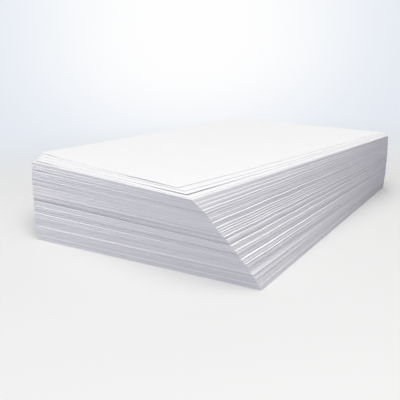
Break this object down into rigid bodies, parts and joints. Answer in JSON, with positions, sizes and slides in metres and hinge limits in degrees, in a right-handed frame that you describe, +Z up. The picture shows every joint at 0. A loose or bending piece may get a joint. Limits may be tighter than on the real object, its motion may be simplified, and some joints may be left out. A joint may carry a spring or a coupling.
{
  "type": "stack of laid cardstock",
  "caption": "Fanned, unbound stack of plain white laid cardstock lying flat: the sheets turn step by step about one corner, with a few loose sheets askew on top.",
  "frame": {"origin": "on the table, under the middle of the whole stack's box", "axes": "+X along the short edge of the bottom sheet, +Y along its long edge away from the fanned corner, +Z up"},
  "size_m": [0.2882, 0.3438, 0.0567],
  "materials": {
    "cardstock": "uncoated laid white, matt, with fine laid lines and wider chain lines"
  },
  "bodies": {
    "root": {"lift_01": "cardstock", "lift_02": "cardstock", "lift_03": "cardstock", "lift_04": "cardstock", "lift_05": "cardstock", "lift_06": "cardstock", "lift_07": "cardstock", "lift_08": "cardstock", "lift_09": "cardstock", "lift_10": "cardstock", "lift_11": "cardstock", "lift_12": "cardstock", "lift_13": "cardstock", "lift_14": "cardstock", "lift_15": "cardstock", "lift_16": "cardstock", "lift_17": "cardstock", "lift_18": "cardstock", "lift_19": "cardstock", "lift_20": "cardstock", "lift_21": "cardstock", "lift_22": "cardstock", "lift_23": "cardstock", "lift_24": "cardstock", "lift_25": "cardstock", "lift_26": "cardstock", "lift_27": "cardstock", "lift_28": "cardstock", "lift_29": "cardstock", "lift_30": "cardstock", "lift_31": "cardstock", "lift_32": "cardstock", "lift_33": "cardstock", "lift_34": "cardstock", "lift_35": "cardstock", "lift_36": "cardstock", "lift_37": "cardstock", "lift_38": "cardstock", "lift_39": "cardstock", "lift_40": "cardstock", "lift_41": "cardstock", "lift_42": "cardstock", "lift_43": "cardstock", "lift_44": "cardstock", "lift_45": "cardstock", "lift_46": "cardstock", "lift_47": "cardstock", "lift_48": "cardstock", "lift_49": "cardstock", "lift_50": "cardstock", "lift_51": "cardstock", "lift_52": "cardstock", "lift_53": "cardstock", "lift_54": "cardstock", "lift_55": "cardstock", "lift_56": "cardstock", "loose_sheet_1": "cardstock", "loose_sheet_2": "cardstock", "loose_sheet_3": "cardstock", "top_sheet": "cardstock"}
  },
  "joints": []
}
